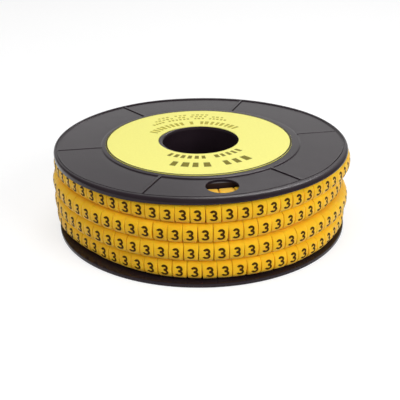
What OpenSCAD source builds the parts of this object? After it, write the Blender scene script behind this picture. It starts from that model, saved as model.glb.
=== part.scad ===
// Reel of cable markers: a moulded reel wound full with one slit strip of marker sleeves.
// The origin is on the bore axis in the plane the reel lies on, +Z is up and the window faces -Y.

/* [Flanges] */
// Outside diameter of the flanges
flange_d = 94; // [86:1:110]
// Height of the reel over both flanges
reel_h = 27.2; // [22:0.2:36]
// Thickness of a flange over its rim, ribs and boss
flange_t = 1.2; // [1.2:0.1:2.6]
// Radius on the outer edge of a flange
edge_r = 0.9; // [0.2:0.1:0.9]
// Radius on the edge of a flange beside the strip
lip_r = 0.2; // [0.1:0.1:0.2]
// Depth of the sector panels below the rim
panel_depth = 0.3; // [0.2:0.1:0.8]
// Width of the raised rim
rim_w = 2.9; // [1:0.1:3.5]
// Diameter of the raised boss that carries the label
boss_d = 63.8; // [58:0.2:66]
// Number of ribs from the boss to the rim
rib_count = 6; // [4:1:8]
// Width of a rib
rib_w = 1; // [0.8:0.1:3]
// Angle of the first rib from +X
rib_angle = 9; // [0:0.5:30]
// Diameter of the window in one panel
window_d = 9.4; // [5:0.2:10]
// Web between the boss and the window
window_web = 0.5; // [0.3:0.1:3]
// Panel that has the window, counted from the first rib
window_panel = 4; // [0:1:5]

/* [Hub] */
// Diameter of the spindle bore
bore_d = 24.4; // [16:0.2:32]
// Radius on the mouths of the bore
mouth_r = 0.8; // [0.2:0.1:1]
// Diameter of the drum that the strip is wound on
drum_d = 68; // [60:1:72]
// Wall of the drum and of the bore tube
hub_wall = 1.8; // [1.2:0.1:2.4]
// Length of the spigot that joins the two halves
spigot_len = 4; // [2:0.5:6]
// Clearance of the spigot in its socket
spigot_clear = 0.1; // [0.05:0.05:0.2]

/* [Label] */
// Margin of the boss around the label
label_margin = 2; // [1:0.1:6]
// Margin of the boss between the bore and the label
label_hole_margin = 0.8; // [0.7:0.1:3]
// Thickness of the label
label_t = 0.2; // [0.1:0.05:0.4]
// How far the label is stuck off centre
label_shift = 0.7; // [0:0.1:0.7]

/* [Marker strip] */
// Length of one marker along the strip
marker_len = 4.3; // [3.6:0.1:6]
// Number of rows of markers between the flanges
row_count = 4; // [2:1:5]
// Height of the flat printed face of a marker
face_h = 3.6; // [2.4:0.2:4]
// Depth of the grooves between the rows
groove_depth = 1.9; // [0.8:0.1:2.6]
// How far the printed faces lie inside the flange edge
face_inset = 0.1; // [0:0.1:2]
// How far the turns wander in and out
wander = 1; // [0:0.1:1.2]
// Depth of the outer layer below its grooves
layer_depth = 3.4; // [2:0.2:5]
// Width of the slit between two markers
slit_w = 0.4; // [0.2:0.1:0.8]
// Depth of the slit between two markers
slit_depth = 0.7; // [0.3:0.1:1]
// Angle over which the strip steps down from one row to the next
crossover = 50; // [30:5:90]
// Clearance of the strip to the flanges
flange_clear = 0.5; // [0.05:0.05:0.8]
// Clearance of the strip to the drum
drum_clear = 0.3; // [0.1:0.1:0.6]
// Gap between two turns
turn_gap = 0.06; // [0.04:0.02:0.2]

/* [Hidden] */
$fn = 120;
cut = 1;

flange_r = flange_d / 2;
drum_r = drum_d / 2;
bore_r = bore_d / 2;
mid_z = reel_h / 2;
drum_root = (panel_depth + flange_t) / 2;
spigot_wall = hub_wall / 2;
panel_angle = 360 / rib_count;
window_angle = rib_angle + panel_angle * (window_panel + 0.5);
window_r = boss_d / 2 + window_web + window_d / 2;
label_d = boss_d - 2 * label_margin;
label_hole_d = bore_d + 2 * label_hole_margin;
edge_steps = 5;

// Share of the wander at each eighth turn, from the back, clockwise seen from above, a turn a line
wander_step = 45;
wander_share = [
    0.4, 0.8, 1.2, -0.5, 0.1, -0.9, 0.5, 0.2,
    0, -0.3, -0.8, -1.7, 0.1, 0.3, 1.2, 1,
    0.6, 0.8, 1, -0.4, -0.2, -0.2, 1.2, 0.9,
    0.6, 0.4, 0.3, -0.6, -1, -2.4, 1, 0.8,
    0.4,
];

strip_low = flange_t + flange_clear;
strip_high = reel_h - flange_t - flange_clear;
row_pitch = (strip_high - strip_low) / row_count;
half_h = (row_pitch - turn_gap) / 2;
face_r = flange_r - face_inset;
marker_angle = 360 * marker_len / (2 * PI * face_r);
slit_angle = 360 * slit_w / (2 * PI * face_r);
strip_angle = 360 * row_count - crossover;
marker_count = floor(strip_angle / marker_angle);

// Quarter of a round edge of radius r from angle a, about the point [x, z] of a profile
function edge_arc(x, z, r, a) =
    [for (i = [0:edge_steps]) [x, z] + r * [cos(a + 90 * i / edge_steps), sin(a + 90 * i / edge_steps)]];

function smooth(t) = t * t * (3 - 2 * t);

// Turns of the reel passed at strip angle a, with each step down in the last stretch of its turn
function rows_down(a) =
    floor(a / 360) + smooth(max(0, (a % 360 + crossover - 360) / crossover));

function strip_z(a) = strip_high - row_pitch * (rows_down(a) + 0.5);

// Direction of strip angle a, clockwise from the back
function bearing(a) = crossover / 2 + a;

function wander_at(i) = wander * wander_share[i % len(wander_share)];

function strip_lift(a) =
    let (i = floor(bearing(a) / wander_step))
    let (t = smooth(bearing(a) / wander_step - i))
    wander_at(i) * (1 - t) + wander_at(i + 1) * t;

// True where strip angle a lies in the step down that ends turn n, a marker clear of its ends
function in_step(a, n) =
    a > 360 * n - crossover + marker_angle && a < 360 * n - marker_angle;

// Height left open above the first step down and below the last one, beside the loose ends
function open_above(a) = in_step(a, 1) ? row_pitch * rows_down(a) : 0;
function open_below(a) = in_step(a, row_count - 1) ? row_pitch * (row_count - 1 - rows_down(a)) : 0;

// Groove radius beside an open height, where the layer underneath shows
function layer_r(r, open) = r - groove_depth - layer_depth * min(1, 2 * open / row_pitch);

// Section of the roll at strip angle a, from the drum out to a crowned face sunk by inset
function section(a, inset) =
    let (z = strip_z(a))
    let (r = face_r + strip_lift(a) - inset)
    let (low = z - half_h - open_below(a))
    let (high = z + half_h + open_above(a))
    [
        [drum_r + drum_clear, low],
        [layer_r(r, open_below(a)), low],
        [r, z - face_h / 2],
        [r, z + face_h / 2],
        [layer_r(r, open_above(a)), high],
        [drum_r + drum_clear, high],
    ];

function placed(profile, a) =
    [for (p = profile) [p.x * sin(bearing(a)), p.x * cos(bearing(a)), p.y]];

// Strip angle and inset of each section: both ends of a marker, then the slit after it
function marker_sections(i) =
    [
        [i * marker_angle + slit_angle / 2, 0],
        [(i + 1) * marker_angle - slit_angle / 2, 0],
        if (i < marker_count - 1) [(i + 1) * marker_angle, slit_depth],
    ];

module flange_profile() {
    polygon(concat(
        [[bore_r, flange_t]],
        edge_arc(bore_r + mouth_r, mouth_r, mouth_r, 180),
        edge_arc(flange_r - edge_r, edge_r, edge_r, 270),
        edge_arc(flange_r - lip_r, flange_t - lip_r, lip_r, 0)
    ));
}

// Bore tube and drum, rooted in the flange below its panels
module hub_profile(spigot) {
    translate([bore_r, mouth_r]) square([hub_wall, mid_z - mouth_r]);
    difference() {
        translate([drum_r - hub_wall, drum_root]) square([hub_wall, mid_z - drum_root]);
        if (!spigot) {
            translate([drum_r - hub_wall - cut, mid_z - spigot_len - spigot_clear])
                square([spigot_wall + cut, spigot_len + spigot_clear + cut]);
        }
    }
    if (spigot) {
        translate([drum_r - hub_wall, mid_z - cut])
            square([spigot_wall - spigot_clear, spigot_len + cut]);
    }
}

module panel_outlines() {
    difference() {
        circle(flange_r - rim_w);
        circle(d = boss_d);
        for (i = [0:rib_count - 1]) {
            rotate(rib_angle + panel_angle * i)
                translate([0, -rib_w / 2]) square([flange_d, rib_w]);
        }
    }
}

// One moulding, lying on its outer face, with the drum seen through part of the window
module reel_half(spigot) {
    difference() {
        rotate_extrude() flange_profile();
        translate([0, 0, -cut]) linear_extrude(panel_depth + cut) panel_outlines();
        rotate(window_angle) translate([window_r, 0, -cut]) cylinder(d = window_d, h = flange_t + 2 * cut);
    }
    rotate_extrude() hub_profile(spigot);
}

module lower_reel_half() {
    color([0.17, 0.16, 0.17]) reel_half(true);
}

module upper_reel_half() {
    color([0.2, 0.19, 0.2]) translate([0, 0, reel_h]) mirror([0, 0, 1]) reel_half(false);
}

module marker_strip() {
    sections = [for (i = [0:marker_count - 1]) each marker_sections(i)];
    rings = [for (s = sections) placed(section(s[0], s[1]), s[0])];
    sides = len(rings[0]);
    last = len(rings) - 1;
    wall = [
        for (i = [0:last - 1], j = [0:sides - 1])
        let (k = (j + 1) % sides)
        each [
            [i * sides + j, (i + 1) * sides + j, (i + 1) * sides + k],
            [i * sides + j, (i + 1) * sides + k, i * sides + k],
        ]
    ];
    start_cap = [for (j = [0:sides - 1]) j];
    end_cap = [for (j = [sides - 1:-1:0]) last * sides + j];
    color([0.95, 0.72, 0.14])
        polyhedron([for (ring = rings) each ring], concat([start_cap], wall, [end_cap]));
}

module label() {
    color([0.95, 0.92, 0.5])
        translate([-label_shift, 0, reel_h])
            difference() {
                cylinder(d = label_d, h = label_t);
                translate([0, 0, -cut]) cylinder(d = label_hole_d, h = label_t + 2 * cut);
            }
}

lower_reel_half();
upper_reel_half();
marker_strip();
label();
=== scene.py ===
"""Looks of a reel of cable markers: moulded reel, wound vinyl strip, printed digits and paper label."""

import bisect
import math
import random

import bmesh
import bpy
from mathutils import Matrix, Vector
from mathutils.geometry import tessellate_polygon


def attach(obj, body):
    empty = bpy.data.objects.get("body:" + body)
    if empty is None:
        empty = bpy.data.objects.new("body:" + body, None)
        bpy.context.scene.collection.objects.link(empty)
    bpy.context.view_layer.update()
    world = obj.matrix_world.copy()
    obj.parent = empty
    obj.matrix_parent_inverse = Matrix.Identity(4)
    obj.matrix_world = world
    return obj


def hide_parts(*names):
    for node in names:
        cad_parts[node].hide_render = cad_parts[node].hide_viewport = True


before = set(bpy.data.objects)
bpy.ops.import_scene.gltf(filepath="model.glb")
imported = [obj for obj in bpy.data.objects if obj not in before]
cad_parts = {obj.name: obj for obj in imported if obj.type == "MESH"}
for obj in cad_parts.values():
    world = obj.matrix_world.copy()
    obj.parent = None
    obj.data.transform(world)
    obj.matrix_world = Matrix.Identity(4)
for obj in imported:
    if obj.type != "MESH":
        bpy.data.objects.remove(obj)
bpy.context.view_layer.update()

# Lengths are in millimetres in the frame of the solids, angles in degrees
MM = 0.001
SEED = 5
SMOOTH_ANGLE = 40.0

# Reel
REEL_H = 27.2
MID_Z = REEL_H / 2
FLANGE_R = 47.0
FLANGE_T = 1.2
LIP_R = 0.2
PANEL_DEPTH = 0.3
BOSS_R = 31.9
BORE_R = 12.2
MOUTH_R = 0.8
HUB_WALL = 1.8
TUBE_R = BORE_R + HUB_WALL
DRUM_R = 34.0
DRUM_IN_R = DRUM_R - HUB_WALL
DRUM_ROOT = (PANEL_DEPTH + FLANGE_T) / 2
SPIGOT_LEN = 4.0
SPIGOT_CLEAR = 0.1
SOCKET_R = DRUM_R - HUB_WALL / 2
SOCKET_DEPTH = SPIGOT_LEN + SPIGOT_CLEAR
SPIGOT_R = SOCKET_R - SPIGOT_CLEAR
# Bevel where the two halves meet
SEAM_W = 0.12

# Window, with rounded edges, and the plug that cuts it
WINDOW_HOLE_R = 4.7
WINDOW_WEB = 0.5
WINDOW_R = BOSS_R + WINDOW_WEB + WINDOW_HOLE_R
WINDOW_ANGLE = 279.0
WINDOW_EDGE_R = 0.2
WINDOW_BACK_R = 0.15
PLUG_R = 5.2
PLUG_OUTSIDE = 1.0
PLUG_INSIDE = 0.4

# Steps from the rim and from the boss to the panels
RIM_R = 43.9
RIM_STEP_W = 0.4
BOSS_STEP_W = 0.7
# How far the edge of the boss lies below its face
BOSS_DROP = 0.05
# Form of a step: place across it and share of the panels' depth
STEP_SHARES = (
    (-0.5, 0.0), (-0.3, 0.05), (-0.13, 0.23), (0.0, 0.5), (0.13, 0.77), (0.3, 0.95), (0.5, 1.0),
)

# Rim: a fine groove of (radius, depth) points, a slope outside it and a rounded edge
RIM_GROOVE = ((44.14, 0.0), (44.19, 0.02), (44.22, 0.35), (44.42, 0.35), (44.46, 0.02), (44.52, 0.0))
RIM_SLOPE = 0.06
EDGE_W = 2.0
EDGE_H = 0.95
LOWER_EDGE_W = 0.35
LOWER_EDGE_H = 0.3
# Angle at which the rounded edge takes over from the slope
EDGE_START = 276
LIP_IN_R = 45.6
# How far the inner edge of the upper rim is moved out, and its lip down, at equal steps from +X
DIRECTION_STEP = 30.0
RIM_SHIFT = (1.6, 1.7, 1.0, 0.4, 1.5, 1.7, 1.8, 1.6, 0.9, 0.1, -0.4, 0.4)
LIP_DROP = (0.0, 0.0, 0.0, 0.0, 0.0, 0.1, 0.3, 0.7, 0.7, 0.2, 0.0, 0.0)
# Width that the rounded edge loses for each millimetre of that shift
EDGE_TRIM = 0.8

# Ribs between the panels
RIB_ANGLES = (9.8, 70.0, 127.5, 189.0, 247.9, 310.8)
RIB_HALF = 0.5
RIB_STEP_W = 0.4
# How far the top of each rib lies below the rim, and the hollow at its foot below the panels, as shares
# of the panels' depth
RIB_LOW = (0.55, 0.0, 0.0, 0.55, 0.0, 0.0)
RIB_HOLLOW = (0.0, 0.5, 0.8, 0.0, 0.7, 1.0)
# Flank of a rib: place across it, share of the panels' depth and share of the hollow
RIB_FLANK = (
    (-0.5, 0.0, 0.0), (-0.35, 0.06, 0.0), (-0.15, 0.5, 0.2), (0.0, 0.9, 0.6),
    (0.13, 1.0, 1.0), (0.3, 1.0, 0.7), (0.5, 1.0, 0.0),
)

# Fineness of the reel's meshes, and radii of the rows on its flat faces
MOUTH_STEPS = 8
EDGE_STEPS = 14
FINE_STEPS = 4
WINDOW_SIDES = 72
DRUM_SIDES = 120
PANEL_COLUMNS = 22
BOSS_ROWS = (18.0, 25.0, 30.0, 31.0)
PANEL_ROWS = tuple(33.2 + 1.6 * i for i in range(7))
BACK_ROWS = (LIP_IN_R, 43.0, 38.0, 28.0, TUBE_R)
BORE_ROW_Z = 5.0

# Marker strip
ROWS = 4
FLANGE_CLEAR = 0.5
TURN_GAP = 0.06
STRIP_LOW = FLANGE_T + FLANGE_CLEAR
STRIP_HIGH = REEL_H - FLANGE_T - FLANGE_CLEAR
ROW_PITCH = (STRIP_HIGH - STRIP_LOW) / ROWS
HALF_H = (ROW_PITCH - TURN_GAP) / 2
FACE_R = 46.8
CROSSOVER = 50.0
STRIP_DEGREES = 1400
STRIP_SMOOTH_ANGLE = 60.0
# How far the turns lie outside their mean radius and below their mean height at each eighth turn, from
# the back, clockwise seen from above, a turn a line
WANDER_STEP = 45.0
WANDER = (
    0.4, 0.8, 1.2, -0.5, 0.1, -0.9, 0.5, 0.2,
    0.0, -0.3, -0.8, -1.7, 0.1, 0.3, 1.2, 1.0,
    0.6, 0.8, 1.0, -0.4, -0.2, -0.2, 1.2, 0.9,
    0.6, 0.4, 0.3, -0.6, -1.0, -2.4, 1.0, 0.8,
    0.4,
)
DROOP = (
    0.0, 0.0, 0.2, -0.2, 0.0, -0.35, -0.3, -0.1,
    0.0, 0.0, 0.1, 0.0, 0.1, -0.4, -0.35, 0.0,
    0.1, 0.2, 0.6, 0.2, 0.0, -0.35, 0.2, 0.2,
    0.2, 0.3, 0.4, 0.4, 0.2, 0.25, 0.2, 0.2,
    0.2,
)

# Markers, and the strip angles of a few of them in each row, as seen in the photo
MARKERS = 263
MARKER_ANCHORS = (
    (20, 108.1), (29, 156.45), (38, 203.9),
    (88, 465.0), (97, 513.95), (106, 560.6),
    (156, 825.5), (165, 873.7), (174, 920.95),
    (224, 1184.0), (233, 1232.5), (242, 1281.75),
)
# Ranges of each marker's own errors: two lengths, then three slopes
MARKER_LIFT = (-0.06, 0.04)
MARKER_DROP = (-0.05, 0.05)
MARKER_TILT = (-0.025, 0.025)
MARKER_ROLL = (-0.012, 0.012)
MARKER_SKEW = (-0.04, 0.04)

# Section of a sleeve: a rounded shoulder, a short straight side and a cut corner on the inner side
SHOULDER_DEPTH = 2.4
SHOULDER_POWER = 2.6
SHOULDER_SHARES = (0.25, 0.45, 0.6, 0.73, 0.83, 0.91, 0.97, 1.0)
SIDE_DEPTH = 0.6
INNER_CORNER = 0.35
LAYER_IN_R = 40.4
CROWN = 0.02

# Slit after each marker: least and most width, rate of the random widths between them, and depth
SLIT_MIN = 0.22
SLIT_MAX = 0.5
SLIT_RATE = 10.0
SLIT_DEPTH = (1.1, 1.7)
# Share of its width that it slants by, pinch of the section in it, and how fast it fades near the top
SLIT_SLANT = 0.8
SLIT_PINCH = 0.2
SLIT_FADE = 4.0
# Edges beside it: how far they are sunk, and how far from it the face is flat
SLIT_EDGE_INSET = 0.07
SLIT_BREAK_W = 0.1
SLIT_BREAK_INSET = 0.015
SLIT_FLAT_W = 0.5

# Loose ends of the strip
END_ANGLE = 2.7
END_DEPTH = 5.0
END_SLOPE = 0.25
END_WALL = 0.7
END_HOLLOW = 7.0
# Distance along the strip, and depth, at which the direction of an end is taken
END_REACH = 2.0

# Layer underneath: sleeves of (place, inset) stations along half a marker each way
INNER_OUT_R = 40.3
INNER_IN_R = 34.4
INNER_MARKERS = 50
INNER_TURN = 3.2
# Exponent of the rounded section: 1 is an ellipse, less is squarer
INNER_ROUND = 0.5
INNER_SIDES = 24
INNER_STATIONS = ((-0.9, 0.1), (-0.75, 0.0), (0.75, 0.0), (0.9, 0.1), (1.0, 1.2))

# Printed digits: half the pen's width and each bowl's middle, half width and half height, at unit height
DIGIT_PEN = 0.105
DIGIT_UPPER = (0.232, 0.228, 0.185)
DIGIT_LOWER = (-0.205, 0.262, 0.212)
DIGIT_WAIST = ((-0.08, -0.075), (-0.08, 0.115))
DIGIT_H = 3.1
DIGIT_LIFT = 0.035
DIGIT_INK_T = 0.03
DIGIT_SIZE = (0.97, 1.03)
DIGIT_TURN = (-0.03, 0.03)
DIGIT_ALONG = (-0.1, 0.1)
DIGIT_ACROSS = (-0.08, 0.08)

# Label print: bars in lines of (inner radius, outer radius, start, end, bars in each group)
LABEL_SHIFT = 0.7
LABEL_T = 0.2
LABEL_TOP = REEL_H + LABEL_T
# Inner and outer radius of the thin dark band all round the label's edge
LABEL_EDGE = (29.35, 29.88)
FRONT_LINES = (
    (20.3, 23.7, -22, 46, (4, 3)),
    (14.7, 17.1, -35, 56, (6, 5)),
)
BACK_LINES = (
    (14.9, 17.8, 130, 249, (8, 1, 8)),
    (20.2, 21.4, 153, 229, (5, 3, 6, 4)),
    (22.4, 23.4, 158, 222, (3, 4, 2, 5)),
    (24.4, 25.3, 172, 216, (4, 3, 3)),
)
BAR_SHARE = (0.5, 0.68)
GROUP_GAP = 0.9
INK_ABOVE = 0.015
INK_BELOW = 0.01
INK_ANGLE_STEP = 2.0
PRINT_SMOOTH_ANGLE = 30.0

# Colours, as stops of a ramp over noise
PLASTIC_STOPS = ((0.3, (0.013, 0.008, 0.011)), (0.75, (0.02, 0.013, 0.0175)))
PLASTIC_TINT = (1.0, 0.915, 0.945, 1.0)
VINYL_STOPS = ((0.25, (0.84, 0.455, 0.012)), (0.75, (0.91, 0.535, 0.02)))
PAPER_STOPS = ((0.3, (0.88, 0.83, 0.19)), (0.7, (0.93, 0.885, 0.23)))
DIGIT_INK_STOPS = ((0.45, (0.05, 0.02, 0.001)), (0.8, (0.085, 0.038, 0.003)))
FRONT_INK_STOPS = ((0.45, (0.2, 0.17, 0.012)), (0.8, (0.28, 0.25, 0.03)))
BACK_INK_STOPS = ((0.45, (0.42, 0.36, 0.03)), (0.8, (0.55, 0.49, 0.08)))
# Colours of the thin dark band round the label's edge, set to how dark that edge looks
LABEL_EDGE_DARK_STOPS = ((0.45, (0.05, 0.04, 0.006)), (0.8, (0.1, 0.085, 0.02)))
# Range of noise over which roughness changes
NOISE_SPAN = (0.3, 0.7)

# Camera
CAMERA_PLACE = (-0.49, -231.35, 112.19)
CAMERA_PITCH = 24.70
CAMERA_ROLL = -0.717
CAMERA_LENS = 68.4
CAMERA_SENSOR_W = 36.0
CAMERA_NEAR = 10.0

# Lamps: name, place and size in metres, power in watts, and whether reflections show it
LAMPS = (
    ("key", (0.47, -0.40, 0.33), (0.4, 0.4), 3.3, False),
    ("top", (0.0, -0.05, 0.75), (0.5, 0.5), 1.65, False),
    ("fill", (-0.56, -0.33, 0.34), (0.5, 0.4), 1.5, False),
    ("rim", (0.10, 0.46, 0.38), (0.2, 0.07), 0.3, True),
)
LAMP_TARGET = (0.0, 0.0, 0.012)

# Studio: spans of direction over which the back wall begins or ends, then strengths
WALL_TOP = (0.6, 0.85)
WALL_SIDE = (0.35, 0.7)
WALL_BACK = (-0.1, 0.3)
STUDIO_DIM = 0.3
STUDIO_WALL = 0.85
STUDIO_LIGHT = 0.33
STUDIO_WHITE = 1.0

# Floor
FLOOR_HALF = 3000.0
FLOOR_Z = -0.1
FLOOR_COLOUR = (0.4, 0.4, 0.4, 1.0)
FLOOR_GLOW = 0.66


# Shapes


def mm_mesh(name, points, faces, material, smooth_angle=SMOOTH_ANGLE):
    """A mesh object from points in millimetres."""
    mesh = bpy.data.meshes.new(name)
    mesh.from_pydata([Vector(p) * MM for p in points], [], faces)
    bm = bmesh.new()
    bm.from_mesh(mesh)
    bmesh.ops.recalc_face_normals(bm, faces=bm.faces)
    bm.to_mesh(mesh)
    bm.free()
    mesh.shade_smooth()
    mesh.set_sharp_from_angle(angle=math.radians(smooth_angle))
    mesh.materials.append(material)
    obj = bpy.data.objects.new(name, mesh)
    bpy.context.scene.collection.objects.link(obj)
    return obj


def grid_faces(rings, sides, closed, first=0):
    """Quads between neighbouring rings of a sweep whose section is a closed loop."""
    faces = []
    for i in range(rings if closed else rings - 1):
        for j in range(sides):
            a = first + i * sides
            b = first + ((i + 1) % rings) * sides
            k = (j + 1) % sides
            faces.append((a + j, b + j, b + k, a + k))
    return faces


def ellipse(x, y, rx, ry, start, end, steps):
    """Points of a stretch of an ellipse about (x, y)."""
    angles = [math.radians(start + (end - start) * i / steps) for i in range(steps + 1)]
    return [(x + rx * math.cos(a), y + ry * math.sin(a)) for a in angles]


def arc(x, y, r, start, end, steps):
    """Points of a round corner about (x, y)."""
    return ellipse(x, y, r, r, start, end, steps)


def smooth(t):
    return t * t * (3 - 2 * t)


def between(table, place):
    """Value at a place between two entries of a table that closes on itself."""
    step = math.floor(place)
    t = smooth(place - step)
    return table[step % len(table)] * (1 - t) + table[(step + 1) % len(table)] * t


# Materials


def new_material(name):
    material = bpy.data.materials.new(name)
    material.use_nodes = True
    nodes = material.node_tree.nodes
    return material, nodes, material.node_tree.links, nodes["Principled BSDF"]


def noise(nodes, links, scale, detail, roughness=0.5):
    """Noise in the object's own metres."""
    coord = nodes.new("ShaderNodeTexCoord")
    texture = nodes.new("ShaderNodeTexNoise")
    texture.inputs["Scale"].default_value = scale
    texture.inputs["Detail"].default_value = detail
    texture.inputs["Roughness"].default_value = roughness
    links.new(coord.outputs["Object"], texture.inputs["Vector"])
    return texture.outputs["Fac"]


def ramp(nodes, links, source, stops):
    """A colour ramp over source, with two (position, colour) stops."""
    node = nodes.new("ShaderNodeValToRGB")
    for element, (position, colour) in zip(node.color_ramp.elements, stops):
        element.position = position
        element.color = (*colour, 1.0)
    links.new(source, node.inputs["Fac"])
    return node.outputs["Color"]


def scaled(nodes, links, source, low, high, span=(0.0, 1.0)):
    """Low where source is at the start of the span, high where it is at its end."""
    node = nodes.new("ShaderNodeMapRange")
    node.inputs["From Min"].default_value = span[0]
    node.inputs["From Max"].default_value = span[1]
    node.inputs["To Min"].default_value = low
    node.inputs["To Max"].default_value = high
    links.new(source, node.inputs["Value"])
    return node.outputs["Result"]


def bump(nodes, links, source, distance, strength):
    """Relief of a height in metres, as a normal."""
    node = nodes.new("ShaderNodeBump")
    node.inputs["Strength"].default_value = strength
    node.inputs["Distance"].default_value = distance
    links.new(source, node.inputs["Height"])
    return node.outputs["Normal"]


def reel_plastic():
    """Black moulded plastic: fine spark texture, uneven gloss and a little cloudiness."""
    material, nodes, links, shader = new_material("reel_plastic_moulded")
    cloud = noise(nodes, links, scale=90.0, detail=4.0)
    gloss = noise(nodes, links, scale=260.0, detail=3.0)
    grain = noise(nodes, links, scale=3200.0, detail=2.0)
    rough = scaled(nodes, links, gloss, low=0.19, high=0.25, span=NOISE_SPAN)
    relief = bump(nodes, links, grain, distance=0.00002, strength=0.1)
    links.new(ramp(nodes, links, cloud, PLASTIC_STOPS), shader.inputs["Base Color"])
    links.new(rough, shader.inputs["Roughness"])
    links.new(relief, shader.inputs["Normal"])
    shader.inputs["IOR"].default_value = 1.33
    shader.inputs["Specular Tint"].default_value = PLASTIC_TINT
    return material


def marker_vinyl():
    """Soft yellow vinyl: slight cloudiness, small dimples and a satin face."""
    material, nodes, links, shader = new_material("marker_vinyl_soft")
    cloud = noise(nodes, links, scale=160.0, detail=4.0)
    gloss = noise(nodes, links, scale=700.0, detail=2.0)
    dimples = noise(nodes, links, scale=900.0, detail=3.0)
    rough = scaled(nodes, links, gloss, low=0.36, high=0.5, span=NOISE_SPAN)
    relief = bump(nodes, links, dimples, distance=0.00006, strength=0.35)
    links.new(ramp(nodes, links, cloud, VINYL_STOPS), shader.inputs["Base Color"])
    links.new(rough, shader.inputs["Roughness"])
    links.new(relief, shader.inputs["Normal"])
    shader.inputs["IOR"].default_value = 1.28
    shader.inputs["Sheen Weight"].default_value = 0.12
    shader.inputs["Sheen Roughness"].default_value = 0.4
    shader.inputs["Subsurface Weight"].default_value = 0.3
    shader.inputs["Subsurface Radius"].default_value = (1.0, 0.5, 0.1)
    shader.inputs["Subsurface Scale"].default_value = 0.0014
    return material


def label_paper():
    """Pale yellow coated paper with faint fibres."""
    material, nodes, links, shader = new_material("label_paper_coated")
    fibres = noise(nodes, links, scale=1500.0, detail=4.0, roughness=0.65)
    rough = scaled(nodes, links, fibres, low=0.45, high=0.55, span=NOISE_SPAN)
    relief = bump(nodes, links, fibres, distance=0.00002, strength=0.2)
    links.new(ramp(nodes, links, fibres, PAPER_STOPS), shader.inputs["Base Color"])
    links.new(rough, shader.inputs["Roughness"])
    links.new(relief, shader.inputs["Normal"])
    shader.inputs["IOR"].default_value = 1.4
    return material


def ink(name, stops):
    """Printed ink, thin in places."""
    material, nodes, links, shader = new_material(name)
    patches = noise(nodes, links, scale=1200.0, detail=3.0)
    rough = scaled(nodes, links, patches, low=0.45, high=0.6, span=NOISE_SPAN)
    links.new(ramp(nodes, links, patches, stops), shader.inputs["Base Color"])
    links.new(rough, shader.inputs["Roughness"])
    shader.inputs["IOR"].default_value = 1.2
    return material


# Reel halves


def rim_form(upper, direction):
    """Rim in a direction: shift of its inner edge, drop of its lip, width and height of its edge, slope."""
    if not upper:
        return 0.0, 0.0, LOWER_EDGE_W, LOWER_EDGE_H, 0.0
    place = direction / DIRECTION_STEP
    shift = between(RIM_SHIFT, place)
    return shift, between(LIP_DROP, place), EDGE_W - EDGE_TRIM * shift, EDGE_H, RIM_SLOPE


def outer_face(shift, edge_w, edge_h, slope):
    """Profile of a flange from bore to edge, lying on this face: (radius, height, share of the panels)."""
    edge_r = FLANGE_R - edge_w
    drop = slope * (edge_r - RIM_GROOVE[-1][0] - shift)
    mouth = arc(BORE_R + MOUTH_R, MOUTH_R, MOUTH_R, 180, 270, MOUTH_STEPS)
    edge = ellipse(edge_r, edge_h + drop, edge_w, edge_h, EDGE_START, 360, EDGE_STEPS)
    face = [(r, z, 0.0) for r, z in mouth]
    face += [(r, 0.0, 0.0) for r in BOSS_ROWS]
    face += [(BOSS_R + BOSS_STEP_W * x, BOSS_DROP, share) for x, share in STEP_SHARES]
    face += [(r, 0.0, 1.0) for r in PANEL_ROWS]
    face += [(RIM_R + shift - RIM_STEP_W * x, 0.0, share) for x, share in reversed(STEP_SHARES)]
    face += [(r + shift, z, 0.0) for r, z in RIM_GROOVE]
    return face + [(r, z, 0.0) for r, z in edge]


def inner_face(lip):
    """Profile of a flange from its lip to the tube and back along the bore, as in outer_face."""
    face = arc(FLANGE_R - LIP_R, FLANGE_T + lip - LIP_R, LIP_R, 0, 90, FINE_STEPS)[1:]
    face += [(r, FLANGE_T) for r in BACK_ROWS]
    face += [(TUBE_R, MID_Z), (BORE_R + SEAM_W, MID_Z), (BORE_R, MID_Z - SEAM_W), (BORE_R, BORE_ROW_Z)]
    return [(r, z, 0.0) for r, z in face]


def flange_profile(upper, direction):
    """Closed profile of a flange and its tube in a direction, lying on its outer face."""
    shift, lip, edge_w, edge_h, slope = rim_form(upper, direction)
    return outer_face(shift, edge_w, edge_h, slope) + inner_face(lip)


def drum_profile(spigot):
    """Closed profile of the half's share of the drum, rooted in the flange."""
    profile = [(DRUM_IN_R, DRUM_ROOT), (DRUM_R, DRUM_ROOT)]
    profile += [(DRUM_R, MID_Z - SEAM_W), (DRUM_R - SEAM_W, MID_Z)]
    joint_r = SPIGOT_R if spigot else SOCKET_R
    joint_z = MID_Z + SPIGOT_LEN if spigot else MID_Z - SOCKET_DEPTH
    return profile + [(joint_r, MID_Z), (joint_r, joint_z), (DRUM_IN_R, joint_z)]


def rib_share(rib, share, hollow):
    """Share of the panels' depth on the flank of a rib."""
    rib = rib % len(RIB_ANGLES)
    return RIB_LOW[rib] + (1.0 - RIB_LOW[rib]) * (share + hollow * RIB_HOLLOW[rib])


def half_columns():
    """Columns of a half: (rib, offset from it in millimetres or None, place between ribs, share)."""
    columns = []
    for rib in range(len(RIB_ANGLES)):
        columns.append((rib, 0.0, 0.0, RIB_LOW[rib]))
        for x, share, hollow in RIB_FLANK:
            columns.append((rib, RIB_HALF + RIB_STEP_W * x, 0.0, rib_share(rib, share, hollow)))
        for i in range(1, PANEL_COLUMNS):
            columns.append((rib, None, i / PANEL_COLUMNS, 1.0))
        after = rib + 1
        for x, share, hollow in reversed(RIB_FLANK):
            columns.append((after, -RIB_HALF - RIB_STEP_W * x, 0.0, rib_share(after, share, hollow)))
    return columns


def rib_angle(rib):
    turns, rib = divmod(rib, len(RIB_ANGLES))
    return RIB_ANGLES[rib] + 360.0 * turns


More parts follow.
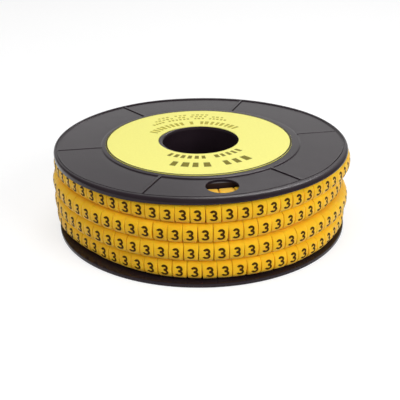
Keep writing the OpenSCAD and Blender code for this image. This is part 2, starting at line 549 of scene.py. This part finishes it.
def column_angle(column, r):
    """Direction of a column at radius r, so that its ribs keep their width."""
    rib, offset, place, _ = column
    if offset is not None:
        return rib_angle(rib) + math.degrees(math.asin(offset / r))
    edge = math.degrees(math.asin((RIB_HALF + RIB_STEP_W / 2) / r))
    step = rib_angle(rib + 1) - rib_angle(rib)
    return rib_angle(rib) + edge + (step - 2 * edge) * place


def window_cutter():
    """A turned plug with flared ends that cuts the window and rounds its edges."""
    edge_r = WINDOW_EDGE_R
    back_r = WINDOW_BACK_R
    profile = [(PLUG_R, -PLUG_OUTSIDE)]
    profile += arc(WINDOW_HOLE_R + edge_r, PANEL_DEPTH + edge_r, edge_r, 270, 180, FINE_STEPS)
    profile += arc(WINDOW_HOLE_R + back_r, FLANGE_T - back_r, back_r, 180, 90, FINE_STEPS)
    profile += [(PLUG_R, FLANGE_T + PLUG_INSIDE)]
    angle = math.radians(WINDOW_ANGLE)
    centre = (WINDOW_R * math.cos(angle), WINDOW_R * math.sin(angle))
    points = []
    for r, z in profile:
        for i in range(WINDOW_SIDES):
            a = 2 * math.pi * i / WINDOW_SIDES
            points.append((centre[0] + r * math.cos(a), centre[1] + r * math.sin(a), z))
    faces = grid_faces(len(profile), WINDOW_SIDES, False)
    faces.append(tuple(range(WINDOW_SIDES)))
    faces.append(tuple(range(len(points) - WINDOW_SIDES, len(points))))
    return points, faces


def cut_window(obj, upper, material):
    points, faces = window_cutter()
    if upper:
        points = [(x, y, REEL_H - z) for x, y, z in points]
    cutter = mm_mesh("window_cutter", points, faces, material)
    modifier = obj.modifiers.new("window", "BOOLEAN")
    modifier.operation = "DIFFERENCE"
    modifier.solver = "EXACT"
    modifier.object = cutter
    depsgraph = bpy.context.evaluated_depsgraph_get()
    cut = bpy.data.meshes.new_from_object(obj.evaluated_get(depsgraph))
    obj.modifiers.clear()
    old = obj.data
    obj.data = cut
    bpy.data.meshes.remove(old)
    bpy.data.objects.remove(cutter)
    cut.set_sharp_from_angle(angle=math.radians(SMOOTH_ANGLE))


def add_drum(obj, upper, material):
    profile = drum_profile(not upper)
    points = []
    for i in range(DRUM_SIDES):
        a = 2 * math.pi * i / DRUM_SIDES
        for r, z in profile:
            points.append((r * math.cos(a), r * math.sin(a), REEL_H - z if upper else z))
    drum = mm_mesh("drum", points, grid_faces(DRUM_SIDES, len(profile), True), material)
    bm = bmesh.new()
    bm.from_mesh(obj.data)
    bm.from_mesh(drum.data)
    bm.to_mesh(obj.data)
    bm.free()
    bpy.data.objects.remove(drum)
    obj.data.set_sharp_from_angle(angle=math.radians(SMOOTH_ANGLE))


def flange_mesh(name, upper, material):
    """A flange with its tube, with rounded steps at the rim, the ribs and the boss."""
    columns = half_columns()
    points = []
    for column in columns:
        profile = flange_profile(upper, column_angle(column, RIM_R))
        for r, z, share in profile:
            angle = math.radians(column_angle(column, r))
            height = z + PANEL_DEPTH * share * column[3]
            points.append((r * math.cos(angle), r * math.sin(angle), REEL_H - height if upper else height))
    return mm_mesh(name, points, grid_faces(len(columns), len(profile), True), material)


def reel_half(name, node, upper, material):
    """One half of the reel: flange, tube, window and drum."""
    obj = flange_mesh(name, upper, material)
    cut_window(obj, upper, material)
    add_drum(obj, upper, material)
    flat = obj.modifiers.new("flat_faces", "WEIGHTED_NORMAL")
    flat.keep_sharp = True
    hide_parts(node)
    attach(obj, "root")


# Course of the strip


def bearing(a):
    """Direction of strip angle a, clockwise from the back."""
    return CROSSOVER / 2 + a


def wandered(table, a):
    """Value at strip angle a of a table with an entry for each eighth turn."""
    return between(table, bearing(a) / WANDER_STEP)


def strip_r(a):
    """Radius of the crown of the strip at strip angle a."""
    return FACE_R + wandered(WANDER, a)


def strip_z(a):
    """Height of the middle of the strip at strip angle a, with a step down at the end of each turn."""
    step = smooth(max(0.0, (a % 360 + CROSSOVER - 360) / CROSSOVER))
    return STRIP_HIGH - ROW_PITCH * (math.floor(a / 360) + step + 0.5) - wandered(DROOP, a)


def strip_lengths():
    """Length of the strip up to each whole degree of strip angle."""
    lengths = [0.0]
    for a in range(STRIP_DEGREES):
        lengths.append(lengths[-1] + math.radians(strip_r(a + 0.5)))
    return lengths


LENGTHS = strip_lengths()


def length_at(a):
    i = math.floor(a)
    return LENGTHS[i] + (a - i) * (LENGTHS[i + 1] - LENGTHS[i])


def angle_at(length):
    i = bisect.bisect_right(LENGTHS, length) - 1
    return i + (length - LENGTHS[i]) / (LENGTHS[i + 1] - LENGTHS[i])


def marker_centre(i):
    """Strip angle of marker i, at an even pitch along the strip between the anchors."""
    for (i0, a0), (i1, a1) in zip(MARKER_ANCHORS, MARKER_ANCHORS[1:]):
        if i < i1:
            break
    start = length_at(a0)
    return angle_at(start + (i - i0) * (length_at(a1) - start) / (i1 - i0))


class Marker:
    """One marker of the strip, with its own small errors."""

    def __init__(self, index, rng):
        self.centre = marker_centre(index)
        self.lift = rng.uniform(*MARKER_LIFT)
        self.drop = rng.uniform(*MARKER_DROP)
        self.yaw = rng.uniform(*MARKER_TILT)
        self.pitch = rng.uniform(*MARKER_TILT)
        self.roll = rng.uniform(*MARKER_ROLL)
        self.slit = min(SLIT_MAX, SLIT_MIN + rng.expovariate(SLIT_RATE))
        self.slit_depth = rng.uniform(*SLIT_DEPTH)
        self.skew = rng.uniform(*MARKER_SKEW)

    def angle(self, s):
        return self.centre + math.degrees(s / FACE_R)

    def place(self, s, h, depth):
        """The point at s along the strip and h above its middle, depth below the crown."""
        a = self.angle(s)
        r = strip_r(a) + self.lift + self.yaw * s + self.pitch * h - depth
        b = math.radians(bearing(a + math.degrees(self.skew * h / FACE_R)))
        return (r * math.sin(b), r * math.cos(b), strip_z(a) + h + self.drop + self.roll * s)


# Sleeves of the strip


def shoulder(h):
    """Depth of a sleeve's face below its crown at height h from its middle."""
    over = min(1.0, abs(h) / HALF_H) ** SHOULDER_POWER
    return SHOULDER_DEPTH * (1 - math.sqrt(1 - over))


def section_outline():
    """Outline of a sleeve in order: (height, depth, share of the slit), depth None on its inner side."""
    side = [(HALF_H * t, shoulder(HALF_H * t)) for t in SHOULDER_SHARES]
    side.append((HALF_H, SHOULDER_DEPTH + SIDE_DEPTH))
    upper = [(h, d, min(1.0, max(0.0, SLIT_FADE * (1.0 - h / HALF_H)))) for h, d in side]
    lower = [(-h, d, 1.0) for h, d in reversed(side)]
    inner = [(HALF_H - INNER_CORNER, None, 0.0), (INNER_CORNER - HALF_H, None, 0.0)]
    return [(0.0, 0.0, 1.0)] + upper + inner + lower


OUTLINE = section_outline()


def sleeve_depth(a, first, last):
    """How deep a sleeve reaches at strip angle a: to the layer below, and less near a loose end."""
    full = strip_r(a) - LAYER_IN_R
    loose = min(a - first, last - a)
    return min(full, END_DEPTH + END_SLOPE * max(0.0, loose))


def sleeve_ring(marker, s, inset, opening, depth):
    """Section of a marker at s, sunk by inset and slanted by the opening of the slit beside it."""
    ring = []
    for h, d, share in OUTLINE:
        d = depth if d is None else d
        pull = 1 - SLIT_PINCH * inset * share / HALF_H
        ring.append(marker.place(s - opening * h / HALF_H, h * pull, d + inset * share))
    return ring


def marker_stations(marker, half, before):
    """Places along a marker where its section is set: (distance, inset, opening)."""
    start = before.slit / 2 - half
    end = half - marker.slit / 2
    lead = SLIT_SLANT * before.slit / 2
    tail = -SLIT_SLANT * marker.slit / 2
    return [
        (start, SLIT_EDGE_INSET, lead),
        (start + SLIT_BREAK_W, SLIT_BREAK_INSET, lead),
        (start + SLIT_FLAT_W, 0.0, 0.0),
        (0.0, -CROWN, 0.0),
        (end - SLIT_FLAT_W, 0.0, 0.0),
        (end - SLIT_BREAK_W, SLIT_BREAK_INSET, tail),
        (end, SLIT_EDGE_INSET, tail),
    ]


def outer_layer(markers):
    """Rings of the wound strip, marker by marker, with a slit after each."""
    first = markers[0].centre - END_ANGLE
    last = markers[-1].centre + END_ANGLE
    rings = []
    for i, marker in enumerate(markers):
        ends = i == len(markers) - 1
        before = markers[max(i - 1, 0)]
        pitch = marker.centre - before.centre if ends else markers[i + 1].centre - marker.centre
        half = math.radians(pitch / 2) * FACE_R
        for s, inset, opening in marker_stations(marker, half, before):
            depth = sleeve_depth(marker.angle(s), first, last)
            rings.append(sleeve_ring(marker, s, inset, opening, depth))
        if not ends:
            depth = sleeve_depth(marker.angle(half), first, last)
            rings.append(sleeve_ring(marker, half, marker.slit_depth, 0.0, depth))
    return rings


def loose_end(points, faces, start, way, marker):
    """Hollow mouth on the ring of points from start, way -1 where the strip begins, 1 where it ends."""
    sides = len(OUTLINE)
    ring = [Vector(p) for p in points[start:start + sides]]
    middle = sum(ring, Vector()) / sides
    mouth = [p + (middle - p).normalized() * END_WALL for p in ring]
    here = Vector(marker.place(0.0, 0.0, END_REACH))
    ahead = Vector(marker.place(END_REACH, 0.0, END_REACH))
    inward = (here - ahead).normalized()
    deep = [p + inward * END_HOLLOW * way for p in mouth]
    first = len(points)
    points.extend(tuple(p) for p in mouth + deep)
    for j in range(sides):
        k = (j + 1) % sides
        faces.append((start + j, start + k, first + k, first + j))
        faces.append((first + j, first + k, first + sides + k, first + sides + j))
    faces.append(tuple(range(first + sides, first + 2 * sides)))


def round_section(inset):
    """Section of a sleeve of the layer underneath, as (radius, height) sunk by inset."""
    middle = (INNER_OUT_R + INNER_IN_R) / 2
    half_w = (INNER_OUT_R - INNER_IN_R) / 2 - inset
    half_h = HALF_H - inset
    section = []
    for i in range(INNER_SIDES):
        a = 2 * math.pi * i / INNER_SIDES
        x = math.copysign(abs(math.cos(a)) ** INNER_ROUND, math.cos(a))
        z = math.copysign(abs(math.sin(a)) ** INNER_ROUND, math.sin(a))
        section.append((middle + half_w * x, half_h * z))
    return section


def inner_rows(points, faces, rng):
    """The layer under the outer one, as plain slit rows."""
    half = 180.0 / INNER_MARKERS
    for row in range(ROWS):
        z = STRIP_HIGH - ROW_PITCH * (row + 0.5)
        turn = INNER_TURN if row == 0 else rng.uniform(0, 360)
        start = len(points)
        for i in range(INNER_MARKERS):
            for place, inset in INNER_STATIONS:
                b = math.radians(turn + 2 * half * i + half * place)
                for r, h in round_section(inset):
                    points.append((r * math.sin(b), r * math.cos(b), z + h))
        faces.extend(grid_faces(INNER_MARKERS * len(INNER_STATIONS), INNER_SIDES, True, start))


def marker_strip(markers, material):
    """The wound strip with both of its loose ends, and the layer underneath."""
    rings = outer_layer(markers)
    sides = len(OUTLINE)
    points = [p for ring in rings for p in ring]
    faces = grid_faces(len(rings), sides, False)
    loose_end(points, faces, 0, -1.0, markers[0])
    loose_end(points, faces, (len(rings) - 1) * sides, 1.0, markers[-1])
    inner_rows(points, faces, random.Random(SEED + 1))
    obj = mm_mesh("marker_strip_turns", points, faces, material, STRIP_SMOOTH_ANGLE)
    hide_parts("marker_strip")
    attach(obj, "root")


# Printed digits


def digit_outline():
    """Outline of a bold figure three, one unit tall: down its outer edge, then up its inner one."""
    pen = DIGIT_PEN
    up_y, up_x, up_h = DIGIT_UPPER
    low_y, low_x, low_h = DIGIT_LOWER
    outline = ellipse(0, up_y, up_x + pen, up_h + pen, 160, -46, 14)
    outline += ellipse(0, low_y, low_x + pen, low_h + pen, 49, -163, 15)
    outline += ellipse(0, low_y, low_x - pen, low_h - pen, -163, 90, 12)
    outline += DIGIT_WAIST
    outline += ellipse(0, up_y, up_x - pen, up_h - pen, -90, 160, 11)
    return outline


def digit_points(marker, outline, rng):
    """Outer and then inner points of the digit on a marker, at its own size, turn and place."""
    size = DIGIT_H * rng.uniform(*DIGIT_SIZE)
    turn = rng.uniform(*DIGIT_TURN)
    along = rng.uniform(*DIGIT_ALONG)
    across = rng.uniform(*DIGIT_ACROSS)
    points = []
    for depth in (-DIGIT_LIFT, DIGIT_INK_T - DIGIT_LIFT):
        for x, y in outline:
            s = -size * (x * math.cos(turn) - y * math.sin(turn)) + along
            h = size * (x * math.sin(turn) + y * math.cos(turn)) + across
            points.append(marker.place(s, h, shoulder(h) + depth))
    return points


def printed_digits(markers, material):
    """A figure three on each marker, as a thin film of ink that follows its face."""
    rng = random.Random(SEED + 2)
    outline = digit_outline()
    count = len(outline)
    fill = tessellate_polygon([[Vector((x, y, 0)) for x, y in outline]])
    points = []
    faces = []
    for marker in markers:
        first = len(points)
        points.extend(digit_points(marker, outline, rng))
        for a, b, c in fill:
            faces.append((first + a, first + b, first + c))
            faces.append((first + count + a, first + count + c, first + count + b))
        for j in range(count):
            k = (j + 1) % count
            faces.append((first + j, first + k, first + count + k, first + count + j))
    obj = mm_mesh("printed_digits", points, faces, material, PRINT_SMOOTH_ANGLE)
    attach(obj, "root")


# Label print


def print_block(points, faces, r0, r1, start, end):
    """A thin block of ink on the label between two radii and two angles from the front."""
    steps = max(2, int(abs(end - start) / INK_ANGLE_STEP) + 1)
    first = len(points)
    for z in (LABEL_TOP + INK_ABOVE, LABEL_TOP - INK_BELOW):
        for r in (r0, r1):
            for i in range(steps + 1):
                a = math.radians(start + (end - start) * i / steps)
                points.append((r * math.sin(a) - LABEL_SHIFT, -r * math.cos(a), z))
    top_in, top_out, low_in, low_out = (first + (steps + 1) * k for k in range(4))
    for i in range(steps):
        faces.append((top_in + i, top_in + i + 1, top_out + i + 1, top_out + i))
        faces.append((low_in + i, low_out + i, low_out + i + 1, low_in + i + 1))
        faces.append((top_in + i, low_in + i, low_in + i + 1, top_in + i + 1))
        faces.append((top_out + i, top_out + i + 1, low_out + i + 1, low_out + i))
    for i in (0, steps):
        faces.append((top_in + i, top_out + i, low_out + i, low_in + i))


def print_line(points, faces, r0, r1, start, end, groups, rng):
    """A line of bars in groups along an arc, with a wider gap between groups."""
    unit = (end - start) / (sum(groups) + GROUP_GAP * (len(groups) - 1))
    place = start
    for group in groups:
        for _ in range(group):
            width = unit * rng.uniform(*BAR_SHARE)
            print_block(points, faces, r0, r1, place, place + width)
            place += unit
        place += GROUP_GAP * unit


def label_print(material, name, lines):
    """Lines of plain bars on the label."""
    rng = random.Random(SEED + 3)
    points = []
    faces = []
    for line in lines:
        print_line(points, faces, *line, rng)
    obj = mm_mesh(name, points, faces, material, PRINT_SMOOTH_ANGLE)
    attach(obj, "root")


def label_edge(material):
    """A thin dark line all round the edge of the label."""
    points = []
    faces = []
    for quarter in range(4):
        print_block(points, faces, *LABEL_EDGE, 90 * quarter, 90 * quarter + 90)
    obj = mm_mesh("label_edge_line", points, faces, material, PRINT_SMOOTH_ANGLE)
    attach(obj, "root")


# Stage


def photo_camera():
    camera = bpy.data.cameras.new("camera")
    camera.sensor_width = CAMERA_SENSOR_W
    camera.lens = CAMERA_LENS
    camera.clip_start = CAMERA_NEAR * MM
    obj = bpy.data.objects.new("camera", camera)
    bpy.context.scene.collection.objects.link(obj)
    tilt = Matrix.Rotation(math.radians(90 - CAMERA_PITCH), 4, "X")
    roll = Matrix.Rotation(math.radians(CAMERA_ROLL), 4, "Z")
    obj.matrix_world = Matrix.Translation(Vector(CAMERA_PLACE) * MM) @ tilt @ roll
    bpy.context.scene.camera = obj


def studio_lamp(name, place, size, power, reflected):
    """A soft lamp that points at the reel."""
    lamp = bpy.data.lights.new(name, "AREA")
    lamp.shape = "RECTANGLE"
    lamp.size = size[0]
    lamp.size_y = size[1]
    lamp.energy = power
    obj = bpy.data.objects.new(name, lamp)
    bpy.context.scene.collection.objects.link(obj)
    aim = Vector(LAMP_TARGET) - Vector(place)
    obj.location = Vector(place)
    obj.rotation_euler = aim.to_track_quat("-Z", "Y").to_euler()
    obj.visible_glossy = reflected


def math_node(nodes, links, operation, *sources):
    node = nodes.new("ShaderNodeMath")
    node.operation = operation
    for i, source in enumerate(sources):
        links.new(source, node.inputs[i])
    return node.outputs[0]


def back_wall(nodes, links):
    """Brightness of the studio in reflections: its low back wall is pale, the rest is dim."""
    coord = nodes.new("ShaderNodeTexCoord")
    axes = nodes.new("ShaderNodeSeparateXYZ")
    links.new(coord.outputs["Generated"], axes.inputs["Vector"])
    aside = math_node(nodes, links, "ABSOLUTE", axes.outputs["X"])
    wall = scaled(nodes, links, axes.outputs["Y"], 0.0, 1.0, WALL_BACK)
    for source, span in ((axes.outputs["Z"], WALL_TOP), (aside, WALL_SIDE)):
        wall = math_node(nodes, links, "MULTIPLY", wall, scaled(nodes, links, source, 1.0, 0.0, span))
    return scaled(nodes, links, wall, STUDIO_DIM, STUDIO_WALL)


def mixed(nodes, links, share, low, high):
    """Low where share is zero, high where it is one. Both may be numbers or sockets."""
    node = nodes.new("ShaderNodeMix")
    links.new(share, node.inputs["Factor"])
    for name, value in (("A", low), ("B", high)):
        if isinstance(value, float):
            node.inputs[name].default_value = value
        else:
            links.new(value, node.inputs[name])
    return node.outputs["Result"]


def white_world():
    """White to the camera, a studio to reflections and even light to the rest."""
    world = bpy.data.worlds.new("studio")
    bpy.context.scene.world = world
    world.use_nodes = True
    nodes = world.node_tree.nodes
    links = world.node_tree.links
    path = nodes.new("ShaderNodeLightPath")
    wall = back_wall(nodes, links)
    lit = mixed(nodes, links, path.outputs["Is Glossy Ray"], STUDIO_LIGHT, wall)
    seen = mixed(nodes, links, path.outputs["Is Camera Ray"], lit, STUDIO_WHITE)
    background = nodes["Background"]
    background.inputs["Color"].default_value = (1.0, 1.0, 1.0, 1.0)
    links.new(seen, background.inputs["Strength"])


def floor_white():
    """A pale matte surface that glows to the camera and in reflections, so that it shows nearly white."""
    material = bpy.data.materials.new("floor_white")
    material.use_nodes = True
    nodes = material.node_tree.nodes
    links = material.node_tree.links
    nodes.clear()
    path = nodes.new("ShaderNodeLightPath")
    camera = path.outputs["Is Camera Ray"]
    glossy = path.outputs["Is Glossy Ray"]
    seen = math_node(nodes, links, "MAXIMUM", camera, glossy)
    glow = nodes.new("ShaderNodeEmission")
    links.new(scaled(nodes, links, seen, 0.0, FLOOR_GLOW), glow.inputs["Strength"])
    matte = nodes.new("ShaderNodeBsdfDiffuse")
    matte.inputs["Color"].default_value = FLOOR_COLOUR
    both = nodes.new("ShaderNodeAddShader")
    links.new(matte.outputs[0], both.inputs[0])
    links.new(glow.outputs[0], both.inputs[1])
    out = nodes.new("ShaderNodeOutputMaterial")
    links.new(both.outputs[0], out.inputs["Surface"])
    return material


def white_floor():
    """A pale floor that keeps a soft shadow of the reel."""
    corners = [(FLOOR_HALF * x, FLOOR_HALF * y, FLOOR_Z) for x, y in ((-1, -1), (1, -1), (1, 1), (-1, 1))]
    mesh = bpy.data.meshes.new("floor")
    mesh.from_pydata([Vector(p) * MM for p in corners], [], [(0, 1, 2, 3)])
    mesh.materials.append(floor_white())
    floor = bpy.data.objects.new("floor", mesh)
    bpy.context.scene.collection.objects.link(floor)


def build_stage():
    bpy.context.scene.view_settings.view_transform = "Standard"
    photo_camera()
    white_world()
    white_floor()
    for lamp in LAMPS:
        studio_lamp(*lamp)


def build_reel():
    plastic = reel_plastic()
    reel_half("reel_half_lower", "lower_reel_half", False, plastic)
    reel_half("reel_half_upper", "upper_reel_half", True, plastic)


def build_strip():
    rng = random.Random(SEED)
    markers = [Marker(i, rng) for i in range(MARKERS)]
    marker_strip(markers, marker_vinyl())
    printed_digits(markers, ink("digit_ink", DIGIT_INK_STOPS))


def build_label():
    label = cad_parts["label"]
    label.data.materials.clear()
    label.data.materials.append(label_paper())
    label_print(ink("label_ink", FRONT_INK_STOPS), "label_print_front", FRONT_LINES)
    label_print(ink("label_ink_pale", BACK_INK_STOPS), "label_print_back", BACK_LINES)
    # The dark band round the label's edge is drawn with the ink shader, in its own dark colours
    label_edge(ink("label_edge_dark", LABEL_EDGE_DARK_STOPS))


build_stage()
build_reel()
build_strip()
build_label()
